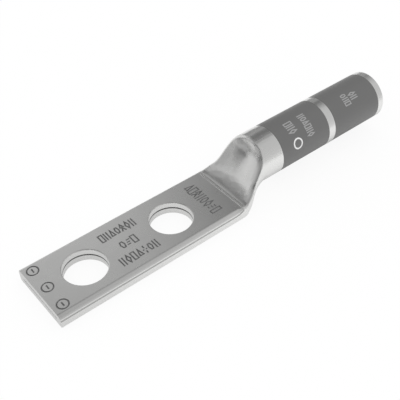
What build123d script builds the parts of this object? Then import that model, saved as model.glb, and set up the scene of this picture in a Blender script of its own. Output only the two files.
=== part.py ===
"""Two-hole compression lug: one tube, flattened into a punched tongue at one end.

The origin is the middle of the two stud holes on the contact face, +X points to the cable mouth
and +Z points up, away from the contact face.
"""
from build123d import *
import math
import os

# Driving dimensions, millimetres
barrel_od = 8.5           # outside of the round barrel
wall = 1.05               # wall of the tube
seam_gap = 0.1            # hairline left between the two layers of the tongue
tongue_width = 11.92      # across the flattened tube
tongue_length = 33.95     # from the sheared tip to the fold line
transition_run = 5.73     # from the fold line to the ridge where the barrel starts
barrel_length = 28.35     # from the ridge to the mouth
barrel_lift = 1.14        # underside of the barrel above the contact face
hole_pitch = 15.875       # between the two stud holes
hole_diameter = 7.0       # clears a 1/4 inch stud
hole_from_tip = 7.82      # from the tip to the middle of the first hole
edge_round = 0.38         # lower long edges of the tongue
crease_round = 0.44       # upper long edges of the tongue, crease of the ramp's flanks and ridge
crease_margin = 0.3       # straight side left below that round
hole_rollover = 0.14      # punch rollover at the top rims of the holes
scoop_depth = 0.7         # how much deeper the ramp is in the middle than at its flanks
bead_height = 0.1         # bead that the die leaves along the fold line
bead_radius = 0.4         # round of that bead
bead_margin = 0.35        # from the ends of that bead to the sides of the tongue
mouth_chamfer = 0.25      # lead-in for the cable strands
rim_chamfer = 0.1         # broken outer edge of the mouth

# Sizes that follow from them
tongue_thick = 2 * wall + seam_gap
radius = barrel_od / 2
axis_z = barrel_lift + radius
x_tip = -hole_pitch / 2 - hole_from_tip
x_fold = x_tip + tongue_length
x_ridge = x_fold + transition_run
x_mouth = x_ridge + barrel_length
top_z = barrel_lift + barrel_od
side_top = tongue_thick - crease_round - crease_margin   # where the straight sides of the tongue end

# Ramp from the fold line to the ridge: share of its run at the flanks, share of the scoop that the middle
# adds to that, share of its rise. The rise has two parts: up to the barrel's axis, and on to its top.
ramp_low = [(0, 0, 0), (0.19, 0.4, 0.13), (0.37, 0.75, 0.38), (0.545, 0.93, 0.75)]
ramp_high = [(0.64, 1, 0), (0.79, 0.6, 0.225), (0.925, 0.2, 0.47), (0.967, 0.3, 0.73), (0.99, 0.4, 1.1)]

# How the flattened sides draw in to the round barrel: share of the run, share of the change
flare = [(-0.08, 0), (0, 0.002), (0.08, 0.025), (0.2, 0.13), (0.35, 0.315), (0.48, 0.53), (0.6, 0.71)]
flare += [(0.74, 0.85), (0.9, 0.945), (1.08, 1), (1.16, 1)]


def lerp(a, b, share):
    """Value between a and b."""
    return a + (b - a) * share


def ramp_points(deeper):
    """Points of the ramp in the XZ plane, scooped towards the barrel by up to deeper."""
    points = []
    for run, scoop, rise in ramp_low:
        points.append((x_fold + run * transition_run + scoop * deeper, lerp(tongue_thick, axis_z, rise)))
    for run, scoop, rise in ramp_high:
        points.append((x_fold + run * transition_run + scoop * deeper, lerp(axis_z, top_z, rise)))
    return points


def offset_points(points, inset):
    """The same curve, moved into the metal by inset along its normals."""
    moved = []
    for i, (x, z) in enumerate(points):
        ax, az = points[max(i - 1, 0)]
        bx, bz = points[min(i + 1, len(points) - 1)]
        if i == 0:
            bx, bz = ax + 1, az
        length = math.hypot(bx - ax, bz - az)
        moved.append((x + inset * (bz - az) / length, z - inset * (bx - ax) / length))
    return moved


def punch(inset):
    """Everything above the tongue and the ramp, as the upper die would fill it."""
    roof = top_z + radius
    floor = tongue_thick - inset
    sections = []
    for across in (-1.3, -0.65, 0, 0.65, 1.3):
        curve = offset_points(ramp_points(scoop_depth * (1 - across**2)), inset)
        (x1, z1), (x2, z2) = curve[-1], curve[-2]
        slope = (x1 - x2) / (z1 - z2)
        corner = (x1 + slope * (roof - z1), roof)
        edges = [
            Spline(curve, tangents=[(1, 0), (slope, 1)]),
            Line((x1, z1), corner),
            Line(corner, (x_fold, roof)),
            Line((x_fold, roof), (x_fold, floor)),
        ]
        plane = Plane(origin=(0, across * tongue_width / 2, 0), x_dir=(1, 0, 0), z_dir=(0, -1, 0))
        sections.append(plane * make_face(Wire(edges)))
    reach = x_fold - x_tip + wall
    over_tongue = Pos(x_tip - wall, 0, floor) * Box(
        reach, 1.3 * tongue_width, roof - floor, align=(Align.MIN, Align.CENTER, Align.MIN)
    )
    return over_tongue + loft(sections)


def trough(share, inset):
    """Section of the tube below the ramp: share 0 is the tongue's, share 1 the barrel's."""
    half = lerp(tongue_width / 2, radius, share) - inset
    bottom = lerp(0, barrel_lift, share) + inset
    foot_round = max(edge_round - inset, 3 * seam_gap)
    flat_height = max(side_top - inset, foot_round + seam_gap)
    height = lerp(flat_height, radius - inset, share**1.5)
    lean = math.radians(lerp(0, 30, share))
    turn = math.radians(lerp(90, 75, share))
    rise = lerp(flat_height - foot_round, (radius - inset) * math.cos(math.radians(75)), share)
    bulge = rise * (1 - math.sin(turn)) / math.cos(turn) if share else 0
    tilt = math.tan(lean / 2)
    widths = math.sin(turn) - math.sin(lean)
    corner = (height - rise - tilt * (half - bulge)) / (math.cos(lean) - math.cos(turn) - tilt * widths)
    foot_x = half - bulge - corner * widths
    foot_z = bottom + foot_x * tilt
    knee = (half - bulge, bottom + height - rise)
    bend = (lean + turn) / 2
    belly_x = foot_x + corner * (math.sin(bend) - math.sin(lean))
    belly_z = foot_z + corner * (math.cos(lean) - math.cos(bend))
    widest = (half, bottom + height)
    if share:
        floor = ThreePointArc((-foot_x, foot_z), (0, bottom), (foot_x, foot_z))
        right = TangentArc(knee, widest, tangent=(math.cos(turn), math.sin(turn)))
    else:
        floor = Line((-foot_x, foot_z), (foot_x, foot_z))
        right = Line(knee, widest)
    belly_arc = ThreePointArc((foot_x, foot_z), (belly_x, belly_z), knee)
    edges = [
        floor,
        belly_arc,
        right,
        EllipticalCenterArc((0, bottom + height), half, top_z - height - bottom - inset, arc_size=180),
        right.mirror(Plane.YZ),
        belly_arc.mirror(Plane.YZ),
    ]
    return make_face(Wire(edges))


def tube_form(inset):
    """Skin of the whole tube moved inwards by inset: 0 is the outside, wall is the cavity."""
    sections = []
    for run, share in flare:
        x = x_fold + run * transition_run
        plane = Plane(origin=(x, 0, 0), x_dir=(0, 1, 0), z_dir=(1, 0, 0))
        sections.append(plane * trough(share, inset))
    x_round = x_fold + flare[-1][0] * transition_run
    x_flat = x_fold + flare[0][0] * transition_run
    tip = Plane(origin=(x_tip, 0, 0), x_dir=(0, 1, 0), z_dir=(1, 0, 0))
    tongue = extrude(tip * trough(0, inset), amount=x_flat - x_tip)
    back = Plane(origin=(x_round, 0, axis_z), x_dir=(0, 1, 0), z_dir=(1, 0, 0))
    barrel = extrude(back * Circle(radius - inset), amount=x_mouth - x_round)
    return tongue + loft(sections) + barrel - punch(inset)


def crease_edges(body):
    """Sharp edges along the top of the tongue, the flanks of the ramp and the ridge."""
    edges = []
    for edge in body.edges():
        box = edge.bounding_box()
        if box.min.Z < tongue_thick - 0.01 or box.max.X - box.min.X < 0.1 or box.max.X > x_mouth - 1:
            continue
        sides = [face for face in body.faces() if any(e.is_same(edge) for e in face.edges())]
        if len(sides) == 2:
            middle = edge.position_at(0.5)
            if sides[0].normal_at(middle).get_angle(sides[1].normal_at(middle)) > 15:
                edges.append(edge)
    return edges


def rim_edges(body, x, r):
    """Circles of radius r in the plane at x, round the barrel's axis."""
    rims = []
    for edge in body.edges().filter_by(GeomType.CIRCLE):
        if abs(edge.center().X - x) < 1e-3 and abs(edge.radius - r) < 1e-3:
            rims.append(edge)
    return rims


# Outside of the tube, with the long edges and the crease rounded
outside = tube_form(0)
lug = fillet(crease_edges(outside), crease_round)

# Bead that the edge of the die leaves along the fold line
bead_axis = tongue_thick + bead_height - bead_radius
bead_length = tongue_width - 2 * bead_margin
bead = Plane(origin=(x_fold, -bead_length / 2, bead_axis), z_dir=(0, 1, 0)) * Cylinder(
    bead_radius, bead_length, align=(Align.CENTER, Align.CENTER, Align.MIN)
)
lug += bead

# Cavity: the bore, its narrowing under the ramp and the hairline between the two layers
lug -= tube_form(wall)

# Stud holes through both layers
for x in (-hole_pitch / 2, hole_pitch / 2):
    lug -= Pos(x, 0, tongue_thick / 2) * Cylinder(hole_diameter / 2, 2 * tongue_thick)
rollover = []
for edge in lug.edges().filter_by(GeomType.CIRCLE):
    if abs(edge.radius - hole_diameter / 2) < 1e-3 and edge.center().Z > tongue_thick - 1e-3:
        rollover.append(edge)
lug = fillet(rollover, hole_rollover)

# Mouth: lead-in for the strands and a broken outer edge
lug = chamfer(rim_edges(lug, x_mouth, radius - wall), mouth_chamfer)
lug = chamfer(rim_edges(lug, x_mouth, radius), rim_chamfer)

lug.label = "lug"
os.makedirs("parts", exist_ok=True)
export_step(lug, "parts/lug.step")
print(f"volume {lug.volume:.1f} mm3, length {x_mouth - x_tip:.2f} mm, solids {len(lug.solids())}")
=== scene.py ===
"""Looks of the two-hole compression lug: tin plate, crimp bands, stamps, studio and camera.

Lengths are millimetres in the frame of the part, turned into metres by MM.
"""
import math

import bmesh
import bpy
from mathutils import Matrix, Vector
from mathutils.bvhtree import BVHTree


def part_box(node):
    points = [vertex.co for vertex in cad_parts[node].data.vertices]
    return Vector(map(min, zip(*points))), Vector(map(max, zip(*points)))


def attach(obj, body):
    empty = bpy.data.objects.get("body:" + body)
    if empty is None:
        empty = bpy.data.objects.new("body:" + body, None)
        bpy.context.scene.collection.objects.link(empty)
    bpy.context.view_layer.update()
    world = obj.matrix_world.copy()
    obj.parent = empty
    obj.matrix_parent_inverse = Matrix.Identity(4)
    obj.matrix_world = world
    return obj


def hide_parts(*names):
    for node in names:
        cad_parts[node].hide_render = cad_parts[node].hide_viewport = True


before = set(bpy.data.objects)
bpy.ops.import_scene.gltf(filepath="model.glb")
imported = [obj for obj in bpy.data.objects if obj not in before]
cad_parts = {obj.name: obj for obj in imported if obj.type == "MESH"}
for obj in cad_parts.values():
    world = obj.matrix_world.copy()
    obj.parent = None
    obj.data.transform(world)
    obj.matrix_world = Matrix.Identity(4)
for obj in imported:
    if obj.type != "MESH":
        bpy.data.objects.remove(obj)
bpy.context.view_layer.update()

MM = 0.001

# Places along the lug, taken from the frame, and sizes of its solid
lug_low, lug_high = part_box("lug")
X_TIP = lug_low.x / MM
X_MOUTH = lug_high.x / MM
BARREL_R = 4.25
AXIS_Z = lug_high.z / MM - BARREL_R
TONGUE_TOP = 2.2
HOLES = (-7.9375, 7.9375)
HOLE_R = 3.5

# Places of the lug's materials in its list
TIN = 0
BAND = 1
# Darker tin of the stamp and seam grooves: painted shade in the recesses
RECESS_SHADE = 2

# Shading: faces that bend less than this at an edge are smooth, faces this parallel are one flat
SMOOTH_ANGLE = 32
FLAT_COSINE = 0.99999

# Painted crimp bands on the barrel, from the mouth inwards, and how far under its skin a face is painted
BANDS = [(-24.24, -13.56), (-12.12, -1.29)]
BAND_DEPTH = 0.3

# Bevel that the die leaves along the near long edge: points of its ledge, then the round above them
BEVEL = [(-5.97, 1.33), (-5.83, 1.37)]
BEVEL_ROUND = 0.95
BEVEL_TOP = -5.0
BEVEL_TURNS = (60, 52, 44, 36, 28, 21, 14, 8, 2.5)
BEVEL_LEAN = 0.02
# Where it runs out at the fold: the point it shrinks to, and the share left of it at each x
BEVEL_END = (-5.9, 2.15)
BEVEL_FADE = [(16.4, 1), (17.2, 0.9), (17.9, 0.5), (18.35, 0.06)]
# Outer side of the bevel's tool, and how far it stands out past the tip and above the tongue
BEVEL_SIDE = -7
BEVEL_PAST = 1
BEVEL_ABOVE = 0.5

# Broad round that runs up the near crease of the ramp: points of the crease, its width there and its lift
CREASE = [
    ((18.6, -5.5, 2.35), 0.45, 0.12),
    ((19.1, -5.3, 2.48), 0.6, 0.0),
    ((19.9, -5.05, 2.97), 0.85, 0.0),
    ((20.9, -4.45, 3.75), 1.1, 0.0),
    ((21.6, -4.2, 4.55), 1.25, 0.0),
    ((22.2, -4.07, 5.4), 1.35, 0.0),
    ((22.8, -3.88, 6.1), 1.35, 0.0),
    ((23.3, -3.6, 6.84), 1.3, 0.0),
    ((23.6, -3.2, 7.5), 1.2, 0.0),
    ((23.8, -2.7, 8.1), 1.05, 0.0),
    ((23.93, -2.1, 8.65), 0.85, 0.03),
    ((24.0, -1.4, 9.05), 0.6, 0.15),
]
# Its curve: how far out its middle point lies as a share of the width, its reach down the flank, its parts
CREASE_BEND = 0.72
CREASE_FOOT = 0.25
CREASE_PARTS = 8
# How far its ends stay off the skin, and how far its tool stands out over its ends and its middle
CREASE_LIFT = 0.006
CREASE_OVER = 0.8
CREASE_CORNER = 0.9
# Outward directions of the ramp and of the flank beside the crease, and where rays to the skin start
RAMP_SIDE = (-0.73, 0.05, 0.68)
FLANK_SIDE = (0.1, -0.8, 0.59)
RAY_START = 3

# Shallow dish high in the middle of the ramp: its middle, the way it is pressed, its depth and spreads
DISH_AT = (23.33, -0.35, 6.95)
DISH_DOWN = (0.882, 0, -0.471)
DISH_DEPTH = 0.26
DISH_ACROSS = 1.43
DISH_ALONG = 2.6
# Share of its depth at which it stops
DISH_RIM = 0.03
# Skin that faces less against it than this, or lies further out than this, isn't pressed
DISH_FACING = -0.35
DISH_ABOVE = -1.2

# Stamps on the tongue: the groove, its tool's height above the tongue, and its foot as a share of its width
STAMP_DEPTH = 0.11
STAMP_STROKE = 0.23
STAMP_OVER = 0.03
STAMP_FOOT = 0.3
# Small round marks near the tip: middles, radius and half of the bar inside
STAMP_RINGS = [(-14.27, 4.34), (-14.17, 0.2), (-14.1, -3.9)]
STAMP_RING_R = 0.88
STAMP_BAR = 0.35

# Opened seam in the walls of the holes: (distance beyond the wall, height from the seam) round its groove
SEAM = [(-0.06, -0.17), (-0.06, 0.17), (0.13, 0.06), (0.13, -0.06)]
SEAM_PARTS = 96

# Printed lines on the bands: top and foot over the barrel, widths, and the longest straight part
INK_LIFT = 0.012
INK_SUNK = 0.03
INK_STROKE = 0.2
INK_RING_STROKE = 0.26
INK_STEP = 0.3

# Straight parts of a drawn circle, and the sharpest mitre of a stroke
CIRCLE_PARTS = 32
MITRE = 0.3


def new_object(name, data):
    """Object of that mesh or camera in the scene."""
    obj = bpy.data.objects.new(name, data)
    bpy.context.scene.collection.objects.link(obj)
    return obj


def mesh_from(name, vertices, faces):
    """Mesh from points in millimetres."""
    mesh = bpy.data.meshes.new(name)
    mesh.from_pydata([Vector(v) * MM for v in vertices], [], faces)
    mesh.update()
    return mesh


def feed(tree, socket, value):
    """Links a socket to an input, or sets the input to a plain value."""
    if isinstance(value, bpy.types.NodeSocket):
        tree.links.new(value, socket)
    else:
        socket.default_value = value


def grow(tree, kind, **inputs):
    """New shader node with the given inputs set or linked."""
    node = tree.nodes.new(kind)
    for name, value in inputs.items():
        feed(tree, node.inputs[name.replace("_", " ")], value)
    return node


def reckon(tree, kind, operation, *values):
    """New node that does a calculation with the values."""
    node = tree.nodes.new(kind)
    node.operation = operation
    for socket, value in zip(node.inputs, values):
        feed(tree, socket, value)
    return node


def maths(tree, operation, *values):
    """Result of a calculation with numbers."""
    return reckon(tree, "ShaderNodeMath", operation, *values).outputs[0]


def material(name):
    """Empty node material with its output node."""
    made = bpy.data.materials.new(name)
    made.use_nodes = True
    made.node_tree.nodes.clear()
    output = made.node_tree.nodes.new("ShaderNodeOutputMaterial")
    return made, made.node_tree, output


def stretched_noise(tree, scale, stretch, detail):
    """Noise in object coordinates, drawn out along X, Y and Z by stretch."""
    place = tree.nodes.new("ShaderNodeTexCoord")
    mapping = grow(tree, "ShaderNodeMapping", Scale=stretch, Vector=place.outputs["Object"])
    noise = grow(tree, "ShaderNodeTexNoise", Scale=scale, Detail=detail, Vector=mapping.outputs["Vector"])
    return noise.outputs["Fac"]


def tin_plate(name, colour, low, high):
    """Dull bright tin over copper, with faint drawing lines along the tube. Roughness is low to high."""
    made, tree, output = material(name)
    blotches = stretched_noise(tree, scale=420, stretch=(1, 1, 1), detail=4)
    lines = stretched_noise(tree, scale=5200, stretch=(0.03, 1, 1), detail=2)
    tone = grow(tree, "ShaderNodeMapRange", To_Min=low, To_Max=high, Value=blotches)
    drawn = grow(tree, "ShaderNodeBump", Strength=0.06, Distance=0.00002, Height=lines)
    bump = grow(
        tree, "ShaderNodeBump", Strength=0.05, Distance=0.00012, Height=blotches,
        Normal=drawn.outputs["Normal"],
    )
    surface = grow(
        tree, "ShaderNodeBsdfPrincipled", Base_Color=(*colour, 1), Metallic=1.0,
        Roughness=tone.outputs["Result"], Normal=bump.outputs["Normal"],
    )
    tree.links.new(surface.outputs["BSDF"], output.inputs["Surface"])
    return made


def paint(name, colour, roughness):
    """Thin coat of ink or paint."""
    made, tree, output = material(name)
    grain = stretched_noise(tree, scale=2600, stretch=(0.3, 1, 1), detail=2)
    bump = grow(tree, "ShaderNodeBump", Strength=0.05, Distance=0.00003, Height=grain)
    surface = grow(
        tree, "ShaderNodeBsdfPrincipled", Base_Color=(*colour, 1), Roughness=roughness,
        Normal=bump.outputs["Normal"],
    )
    tree.links.new(surface.outputs["BSDF"], output.inputs["Surface"])
    return made


def flat_regions(form):
    """Area of the flat that each face belongs to, by face index."""
    region = {}
    for seed in form.faces:
        if seed.index in region:
            continue
        members = {seed}
        waiting = [seed]
        while waiting:
            for edge in waiting.pop().edges:
                for face in edge.link_faces:
                    if face not in members and face.normal.dot(seed.normal) > FLAT_COSINE:
                        members.add(face)
                        waiting.append(face)
        area = sum(face.calc_area() for face in members)
        for face in members:
            region[face.index] = max(area, region.get(face.index, 0))
    return region


def smooth(obj, angle):
    """Smooth shading with edges above angle kept sharp and flats kept flat up to their edges."""
    form = bmesh.new()
    form.from_mesh(obj.data)
    form.normal_update()
    region = flat_regions(form)
    blend = math.cos(math.radians(angle))
    normals = []
    for face in form.faces:
        for corner in face.loops:
            group = {face}
            waiting = [face]
            while waiting:
                here = waiting.pop()
                for edge in here.edges:
                    if corner.vert not in edge.verts:
                        continue
                    for other in edge.link_faces:
                        if other not in group and other.normal.dot(here.normal) > blend:
                            group.add(other)
                            waiting.append(other)
            total = Vector()
            for other in group:
                total += other.normal * (region[other.index] / MM**2) ** 2
            normals.append(total.normalized())
    form.free()
    obj.data.shade_smooth()
    obj.data.normals_split_custom_set(normals)


def apply_modifiers(obj):
    """Replaces the object's mesh by what its modifiers make of it."""
    graph = bpy.context.evaluated_depsgraph_get()
    made = bpy.data.meshes.new_from_object(obj.evaluated_get(graph))
    obj.modifiers.clear()
    obj.data = made


def closed_mesh(name, vertices, faces):
    """Mesh of a closed form, with its normals turned outwards."""
    mesh = mesh_from(name, vertices, faces)
    form = bmesh.new()
    form.from_mesh(mesh)
    bmesh.ops.recalc_face_normals(form, faces=form.faces)
    form.to_mesh(mesh)
    form.free()
    return mesh


def carve(obj, vertices, faces, finish):
    """Cuts closed forms that stand apart out of the object. finish is the new faces' material."""
    tool = new_object("tool", closed_mesh("tool", vertices, faces))
    for shader in obj.data.materials:
        tool.data.materials.append(shader)
    tool.data.polygons.foreach_set("material_index", [finish] * len(tool.data.polygons))
    cut = obj.modifiers.new("cut", "BOOLEAN")
    cut.operation = "DIFFERENCE"
    cut.solver = "EXACT"
    cut.object = tool
    apply_modifiers(obj)
    bpy.data.objects.remove(tool)


def sweep(vertices, faces, rings, closed):
    """Adds the skin of rings of points, joined end to end or capped."""
    first = len(vertices)
    count = len(rings[0])
    for ring in rings:
        vertices.extend(ring)
    last = len(rings) if closed else len(rings) - 1
    for i in range(last):
        a = first + i * count
        b = first + (i + 1) % len(rings) * count
        for k in range(count):
            m = (k + 1) % count
            faces.append((a + k, a + m, b + m, b + k))
    if not closed:
        faces.append(tuple(range(first, first + count)))
        faces.append(tuple(range(first + (len(rings) - 1) * count, first + len(rings) * count)))


def stroke(vertices, faces, line, closed, section, place, tip):
    """Adds a bar along a line of (u, v).

    section is its (offset, height) corners, tip how far each runs past the line's ends, and place
    turns (u, v, height) into a point.
    """
    rings = []
    count = len(line)
    for i, (u, v) in enumerate(line):
        before = Vector(line[i - 1]) if closed or i else None
        after = Vector(line[(i + 1) % count]) if closed or i < count - 1 else None
        here = Vector((u, v))
        into = (here - before).normalized() if before is not None else (after - here).normalized()
        out = (after - here).normalized() if after is not None else into
        side = Vector((-(into + out).y, (into + out).x)).normalized()
        widen = 1 / max(side.dot(Vector((-into.y, into.x))), MITRE)
        ring = []
        for k, (offset, height) in enumerate(section):
            end = 0
            if not closed and i in (0, count - 1):
                end = tip[k] if i else -tip[k]
            at = here + side * offset * widen + out * end
            ring.append(place(at.x, at.y, height))
        rings.append(ring)
    sweep(vertices, faces, rings, closed)


def ring_line(u, v, radius):
    """Closed line round a circle."""
    turns = [2 * math.pi * k / CIRCLE_PARTS for k in range(CIRCLE_PARTS)]
    return [(u + radius * math.cos(t), v + radius * math.sin(t)) for t in turns]


# Plain signs that stand where the real lug has lettering: (points, closed) in a cell 1 wide and 1 high
SIGNS = {
    "gate": [([(0, 0), (1, 0), (1, 1), (0, 1)], True)],
    "bars": [([(0.1, 0), (0.1, 1)], False), ([(0.9, 0), (0.9, 1)], False)],
    "kite": [([(0.5, 0), (1, 0.5), (0.5, 1), (0, 0.5)], True)],
    "peak": [([(0, 0.1), (1, 0.1), (0.5, 0.95)], True)],
    "roofs": [([(0, 0.55), (0.5, 1), (1, 0.55)], False), ([(0, 0.05), (0.5, 0.5), (1, 0.05)], False)],
    "nut": [([(0.25, 0.1), (0.75, 0.1), (1, 0.5), (0.75, 0.9), (0.25, 0.9), (0, 0.5)], True)],
    "ticks": [
        ([(0.5, 0), (0.5, 0.25)], False), ([(0.5, 0.75), (0.5, 1)], False),
        ([(0, 0.5), (0.14, 0.5)], False), ([(0.86, 0.5), (1, 0.5)], False),
    ],
    "stairs": [
        ([(0, 0.2), (0.6, 0.2)], False), ([(0.2, 0.5), (0.8, 0.5)], False),
        ([(0.4, 0.8), (1, 0.8)], False),
    ],
}

# Directions of a row of signs and of the signs' tops, along the tongue, across it and round the barrel
ALONG = ((1, 0), (0, 1))
ACROSS = ((0, -1), (1, 0))
ROUND = ((0, 1), (1, 0))

# Rows of stamped signs: signs, start, directions, pitch, width and height of a sign
STAMP_ROWS = [
    ("gate bars peak nut roofs kite bars", (-3.2, 2.4), ALONG, 0.94, 0.6, 1.6),
    ("nut stairs gate", (-1.5, -0.7), ALONG, 1.05, 0.72, 1.6),
    ("bars kite gate peak ticks nut bars", (-3.4, -3.65), ALONG, 1.0, 0.62, 1.6),
    ("peak gate roofs bars nut kite stairs gate", (13.6, 4.0), ACROSS, 0.97, 0.66, 1.85),
]

# Rows of printed signs: signs, start as mm from the mouth and degrees from the top, pitch, width and height
PRINT_ROWS = [
    ("gate bars kite", -21.5, 12, 0.78, 0.5, 1.5),
    ("bars nut peak gate bars kite", -18.3, 10, 0.72, 0.46, 1.3),
    ("nut bars gate", -8.6, 17, 0.78, 0.5, 1.2),
    ("kite bars", -6.9, 22, 0.72, 0.48, 1.4),
]
# Printed ring: mm from the mouth, degrees from the top and radius
PRINT_RING = (-20.72, 66, 0.85)


def row_of_signs(names, start, directions, pitch, width, height):
    """Lines of a row of signs as (points, closed)."""
    along, up = (Vector(way) for way in directions)
    lines = []
    for i, name in enumerate(names.split()):
        for points, closed in SIGNS[name]:
            placed = []
            for u, v in points:
                at = Vector(start) + along * (i * pitch + u * width) + up * v * height
                placed.append((at.x, at.y))
            lines.append((placed, closed))
    return lines


def mark_bands(obj):
    """Cuts the barrel's mesh at the ends of the bands and paints its outside between them."""
    cut = bmesh.new()
    cut.from_mesh(obj.data)
    bmesh.ops.remove_doubles(cut, verts=cut.verts, dist=1e-7)
    for start, end in BANDS:
        for x in (start, end):
            bmesh.ops.bisect_plane(
                cut, geom=cut.verts[:] + cut.edges[:] + cut.faces[:], dist=1e-8,
                plane_co=Vector((X_MOUTH + x, 0, 0)) * MM, plane_no=(1, 0, 0),
            )
    for face in cut.faces:
        middle = face.calc_center_median() / MM
        outside = math.hypot(middle.y, middle.z - AXIS_Z) > BARREL_R - BAND_DEPTH
        painted = any(X_MOUTH + a < middle.x < X_MOUTH + b for a, b in BANDS)
        face.material_index = BAND if painted and outside else TIN
    cut.to_mesh(obj.data)
    cut.free()


def press_dish(obj):
    """Presses the shallow dish into the ramp, with a finer mesh round it."""
    middle, down = Vector(DISH_AT), Vector(DISH_DOWN)
    along = down.cross(Vector((0, 1, 0)))

    def sink(vertex):
        away = vertex.co / MM - middle
        if vertex.normal.dot(down) >= DISH_FACING or away.dot(down) <= DISH_ABOVE:
            return 0
        share = math.exp(-((away.y / DISH_ACROSS) ** 2) - (away.dot(along) / DISH_ALONG) ** 2)
        return max(share - DISH_RIM, 0)

    form = bmesh.new()
    form.from_mesh(obj.data)
    near = {edge for edge in form.edges if any(sink(vertex) for vertex in edge.verts)}
    bmesh.ops.subdivide_edges(form, edges=list(near), cuts=2, use_grid_fill=True)
    form.normal_update()
    depths = [(vertex, sink(vertex)) for vertex in form.verts]
    for vertex, share in depths:
        vertex.co += down * DISH_DEPTH * share * MM
    form.to_mesh(obj.data)
    form.free()


def bevel_edge(obj):
    """Cuts the bevel along the near long edge of the tongue, running out at the fold."""
    across = list(BEVEL)
    for turn in BEVEL_TURNS:
        t = math.radians(turn)
        across.append((BEVEL_TOP - BEVEL_ROUND * math.sin(t), TONGUE_TOP - BEVEL_ROUND * (1 - math.cos(t))))
    out, up = BEVEL_END
    rings = []
    for x, share in [(X_TIP - BEVEL_PAST, 1)] + BEVEL_FADE:
        ring = [(x, BEVEL_SIDE, up + (across[0][1] - up) * share)]
        for y, z in across:
            ring.append((x, out + (y - out) * share, up + (z - up) * share))
        ring.append((x, ring[-1][1] + BEVEL_LEAN * share, TONGUE_TOP + BEVEL_ABOVE))
        ring.append((x, BEVEL_SIDE, TONGUE_TOP + BEVEL_ABOVE))
        rings.append(ring)
    vertices, faces = [], []
    sweep(vertices, faces, rings, False)
    carve(obj, vertices, faces, TIN)


def skin_at(skin, target, facing):
    """Point and normal where a ray from outside, against facing, meets the skin."""
    start = (Vector(target) + facing * RAY_START) * MM
    point, normal, _, _ = skin.ray_cast(start, -facing)
    return point / MM, normal


def square_to(direction, along):
    """Unit vector of the part of direction that is square to along."""
    return (direction - along * direction.dot(along)).normalized()


def round_crease(obj):
    """Cuts the broad round along the near crease of the ramp: soft towards the ramp, sharp at the flank."""
    skin = BVHTree.FromObject(obj, bpy.context.evaluated_depsgraph_get())
    rings = []
    for i, (place, width, lift) in enumerate(CREASE):
        at = Vector(place)
        before, after = Vector(CREASE[max(i - 1, 0)][0]), Vector(CREASE[min(i + 1, len(CREASE) - 1)][0])
        along = (after - before).normalized()
        ramp = square_to(Vector(RAMP_SIDE), along)
        flank = square_to(Vector(FLANK_SIDE), along)
        inwards, down = ramp.cross(along), along.cross(flank)
        if inwards.y < 0:
            inwards = -inwards
        if down.z > 0:
            down = -down
        top, top_normal = skin_at(skin, at + inwards * width, ramp)
        foot, foot_normal = skin_at(skin, at + down * CREASE_FOOT, flank)
        top += top_normal * (CREASE_LIFT + lift)
        foot += foot_normal * (CREASE_LIFT + lift)
        bend = top - square_to(inwards, top_normal) * width * CREASE_BEND
        ring = []
        for k in range(CREASE_PARTS + 1):
            u = k / CREASE_PARTS
            ring.append(top * (1 - u) ** 2 + bend * 2 * u * (1 - u) + foot * u**2)
        ring.append(foot + foot_normal * CREASE_OVER)
        ring.append(at + (top_normal + foot_normal) * CREASE_CORNER)
        ring.append(top + top_normal * CREASE_OVER)
        rings.append([tuple(point) for point in ring])
    vertices, faces = [], []
    sweep(vertices, faces, rings, False)
    carve(obj, vertices, faces, TIN)


def on_tongue(x, y, height):
    """Point at (x, y), height above the tongue."""
    return x, y, TONGUE_TOP + height


def stamp(obj):
    """Presses the small round marks and the rows of signs into the top of the tongue, with painted shade in
    their grooves.
    """
    lines = []
    for x, y in STAMP_RINGS:
        lines.append((ring_line(x, y, STAMP_RING_R), True))
        lines.append(([(x, y - STAMP_BAR), (x, y + STAMP_BAR)], False))
    for row in STAMP_ROWS:
        lines += row_of_signs(*row)
    half = STAMP_STROKE / 2
    top = half + STAMP_OVER
    foot = STAMP_FOOT * half
    section = [(-top, STAMP_OVER), (top, STAMP_OVER), (foot, -STAMP_DEPTH), (-foot, -STAMP_DEPTH)]
    vertices, faces = [], []
    for line, closed in lines:
        stroke(vertices, faces, line, closed, section, on_tongue, [half, half, 0, 0])
    carve(obj, vertices, faces, RECESS_SHADE)


def open_seams(obj):
    """Rounds off the hairline between the two layers where the holes cut it, with painted shade in the
    groove.
    """
    vertices, faces = [], []
    for x in HOLES:
        rings = []
        for k in range(SEAM_PARTS):
            t = 2 * math.pi * k / SEAM_PARTS
            ring = []
            for beyond, z in SEAM:
                r = HOLE_R + beyond
                ring.append((x + r * math.cos(t), r * math.sin(t), TONGUE_TOP / 2 + z))
            rings.append(ring)
        sweep(vertices, faces, rings, True)
    carve(obj, vertices, faces, RECESS_SHADE)


# The lug itself: the CAD solid, with its bands marked off and its pressed details
lug = new_object("lug_plated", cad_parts["lug"].data.copy())
lug.data.materials.clear()
lug.data.materials.append(tin_plate("tin_plate", (0.83, 0.83, 0.82), 0.235, 0.325))
lug.data.materials.append(paint("band_paint", (0.145, 0.145, 0.143), 0.42))
# Darker, rougher tin for the grooves: painted shade in the recesses
lug.data.materials.append(tin_plate("recess_shaded_tin", (0.42, 0.42, 0.42), 0.4, 0.5))
mark_bands(lug)
press_dish(lug)
bevel_edge(lug)
round_crease(lug)
stamp(lug)
open_seams(lug)
smooth(lug, SMOOTH_ANGLE)
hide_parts("lug")
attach(lug, "root")


def on_barrel(x, turn, height):
    """Point at x from the mouth, turn millimetres round from the top towards the camera."""
    r = BARREL_R + height
    angle = turn / BARREL_R
    return X_MOUTH + x, -r * math.sin(angle), AXIS_Z + r * math.cos(angle)


def turn_mm(degrees):
    """Length round the barrel of an angle from its top."""
    return math.radians(degrees) * BARREL_R


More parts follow.
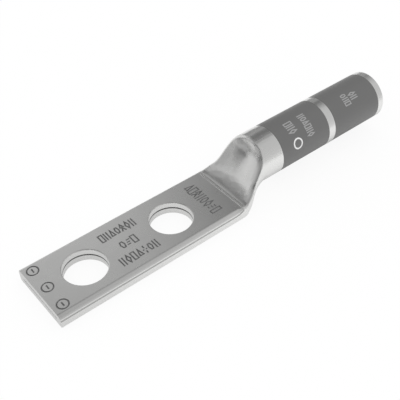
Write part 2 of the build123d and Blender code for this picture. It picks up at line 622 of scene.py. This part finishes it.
def finely(line, closed):
    """The same line in straight parts that follow the barrel's round."""
    points = []
    ends = line + line[:1] if closed else line
    for (u1, v1), (u2, v2) in zip(ends, ends[1:]):
        steps = max(1, math.ceil(math.hypot(u2 - u1, v2 - v1) / INK_STEP))
        for k in range(steps):
            points.append((u1 + (u2 - u1) * k / steps, v1 + (v2 - v1) * k / steps))
    return points if closed else points + [line[-1]]


def ink(name, colour, lines, width):
    """Thin printed lines on the barrel, as one piece."""
    half = width / 2
    section = [(-half, INK_LIFT), (half, INK_LIFT), (half, -INK_SUNK), (-half, -INK_SUNK)]
    vertices, faces = [], []
    for line, closed in lines:
        stroke(vertices, faces, finely(line, closed), closed, section, on_barrel, [half] * 4)
    piece = new_object(name, closed_mesh(name, vertices, faces))
    piece.data.materials.append(paint(name, colour, 0.5))
    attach(piece, "root")


ring_x, ring_turn, ring_r = PRINT_RING
ink("band_ring", (0.8, 0.8, 0.8), [(ring_line(ring_x, turn_mm(ring_turn), ring_r), True)], INK_RING_STROKE)
marks = []
for names, x, degrees, pitch, width, height in PRINT_ROWS:
    marks += row_of_signs(names, (x, turn_mm(degrees)), ROUND, pitch, width, height)
ink("band_marks", (0.34, 0.34, 0.34), marks, INK_STROKE)


# Floor: white paper that shows white to the camera and to gloss, and keeps the lug's shadow
FLOOR_HALF = 2500
FLOOR_BELOW = 0.02
FLOOR_SEEN = 0.9
FLOOR_MIRRORED = 0.6
# Painted shade on the floor that only the plating mirrors, a contact shadow under the lug among it: x, y,
# spread in x and y, darkness
FLOOR_SHADES = [
    (3, 15, 10, 8, 0.85),
    (-96, 44, 74, 74, 0.97),
    (91, -87, 36, 36, 0.8),
    (42, 0, 17, 3.6, 0.85),
]


def bell(tree, closeness, darkness, level):
    """Takes from level a bell of that darkness. closeness is 0 at its middle and -1 at its spread."""
    return maths(tree, "MULTIPLY_ADD", maths(tree, "EXPONENT", closeness), -darkness, level)


def floor_tone(tree):
    """Brightness of the floor as the plating mirrors it, with the painted shade of FLOOR_SHADES."""
    place = tree.nodes.new("ShaderNodeTexCoord").outputs["Object"]
    level = 1.0
    for x, y, wide, deep, darkness in FLOOR_SHADES:
        scale = (1 / (wide * MM), 1 / (deep * MM), 0)
        offset = (-x / wide, -y / deep, 0)
        away = reckon(tree, "ShaderNodeVectorMath", "MULTIPLY_ADD", place, scale, offset).outputs["Vector"]
        square = reckon(tree, "ShaderNodeVectorMath", "DOT_PRODUCT", away, away).outputs["Value"]
        level = bell(tree, maths(tree, "MULTIPLY", square, -1), darkness, level)
    return level


def paper():
    """White paper, mostly glowing for the camera, gloss and glass, and plain matt for all other light."""
    made, tree, output = material("paper")
    path = tree.nodes.new("ShaderNodeLightPath").outputs
    seen = maths(tree, "MULTIPLY", path["Is Camera Ray"], FLOOR_SEEN)
    mirrored = maths(tree, "MULTIPLY_ADD", path["Is Glossy Ray"], FLOOR_MIRRORED, seen)
    share = maths(tree, "MULTIPLY_ADD", path["Is Transmission Ray"], FLOOR_SEEN, mirrored)
    other = maths(tree, "SUBTRACT", 1, path["Is Glossy Ray"])
    tone = maths(tree, "MAXIMUM", floor_tone(tree), other)
    white = grow(tree, "ShaderNodeCombineColor", Red=tone, Green=tone, Blue=tone).outputs["Color"]
    matt = grow(tree, "ShaderNodeBsdfDiffuse", Color=white)
    glow = grow(tree, "ShaderNodeEmission", Color=white, Strength=1.0)
    mix = tree.nodes.new("ShaderNodeMixShader")
    for socket, value in zip(mix.inputs, (share, matt.outputs[0], glow.outputs[0])):
        tree.links.new(value, socket)
    tree.links.new(mix.outputs[0], output.inputs["Surface"])
    return made


corners = [(-FLOOR_HALF, -FLOOR_HALF, 0), (FLOOR_HALF, -FLOOR_HALF, 0)]
corners += [(FLOOR_HALF, FLOOR_HALF, 0), (-FLOOR_HALF, FLOOR_HALF, 0)]
floor = new_object("floor", mesh_from("floor", corners, [(0, 1, 2, 3)]))
floor.location.z = -FLOOR_BELOW * MM
floor.data.materials.append(paper())


# Studio tent that only the plating mirrors: its size and parts, its grey, and its darker places
TENT_R = 900
TENT_PARTS = 48
TENT_GREY = 0.67
# Each place: azimuth, elevation, spread, darkness. A negative darkness makes it brighter.
SHADES = [
    (41, 39, 12, 0.6),
    (57, 8, 22, 0.51),
    (22, 55, 13, 0.45),
    (92, 63, 17, 0.76),
    (111, 44, 8, 0.8),
    (108, 44, 37, -0.24),
    (158, 5, 11, 0.73),
    (164, 38, 11, 0.7),
    (-142, 48, 45, 0.6),
]


def direction(azimuth, elevation):
    """Unit vector for an azimuth from +X and an elevation, in degrees."""
    a, e = math.radians(azimuth), math.radians(elevation)
    return Vector((math.cos(a) * math.cos(e), math.sin(a) * math.cos(e), math.sin(e)))


def tent_cloth():
    """Glow of the tent, by direction from the lug."""
    made, tree, output = material("tent_cloth")
    place = tree.nodes.new("ShaderNodeTexCoord").outputs["Object"]
    ray = reckon(tree, "ShaderNodeVectorMath", "NORMALIZE", place).outputs["Vector"]
    level = TENT_GREY
    for azimuth, elevation, spread, darkness in SHADES:
        middle = direction(azimuth, elevation)
        cosine = reckon(tree, "ShaderNodeVectorMath", "DOT_PRODUCT", ray, middle).outputs["Value"]
        # (cosine - 1) * sharp is close to -(angle / spread)^2
        sharp = 2 / math.radians(spread) ** 2
        level = bell(tree, maths(tree, "MULTIPLY_ADD", cosine, sharp, -sharp), darkness, level)
    glow = grow(tree, "ShaderNodeEmission", Color=(1, 1, 1, 1), Strength=level)
    tree.links.new(glow.outputs[0], output.inputs["Surface"])
    return made


def tent():
    """Large sphere round the lug that only mirrored light sees."""
    shape = bmesh.new()
    bmesh.ops.create_uvsphere(shape, u_segments=TENT_PARTS, v_segments=TENT_PARTS // 2, radius=TENT_R * MM)
    mesh = bpy.data.meshes.new("tent")
    shape.to_mesh(mesh)
    shape.free()
    obj = new_object("tent", mesh)
    obj.data.materials.append(tent_cloth())
    obj.visible_camera = False
    obj.visible_diffuse = False
    obj.visible_shadow = False
    obj.visible_transmission = False


tent()

world = bpy.data.worlds.new("white_room")
bpy.context.scene.world = world
world.use_nodes = True
world.node_tree.nodes["Background"].inputs["Color"].default_value = (1, 1, 1, 1)
world.node_tree.nodes["Background"].inputs["Strength"].default_value = 1.0


# Camera: fitted to the photograph's outlines, hole rims and band edges
FOCAL_PX = 732.349
FRAME_PX = 400
SENSOR_MM = 36
CAMERA_AZIMUTH = -37.458
CAMERA_ELEVATION = 42.792
CAMERA_ROLL = -2.164
CAMERA_DISTANCE = 120.928
AIM = Vector((15.4525, 2.125, 0))


def photo_camera():
    """Camera at the photograph's place, with its field of view."""
    a, e, r = (math.radians(v) for v in (CAMERA_AZIMUTH, CAMERA_ELEVATION, CAMERA_ROLL))
    back = Vector((math.sin(a) * math.cos(e), -math.cos(a) * math.cos(e), math.sin(e)))
    right = Vector((math.cos(a), math.sin(a), 0))
    up = back.cross(right)
    side = math.cos(r) * right + math.sin(r) * up
    top = -math.sin(r) * right + math.cos(r) * up
    data = bpy.data.cameras.new("camera")
    data.sensor_width = SENSOR_MM
    data.lens = FOCAL_PX / FRAME_PX * data.sensor_width
    data.clip_start = 0.01
    data.clip_end = 20
    obj = new_object("camera", data)
    turn = Matrix((side, top, back)).transposed().to_4x4()
    obj.matrix_world = Matrix.Translation((AIM + back * CAMERA_DISTANCE) * MM) @ turn
    bpy.context.scene.camera = obj


photo_camera()
bpy.context.scene.view_settings.view_transform = "Standard"
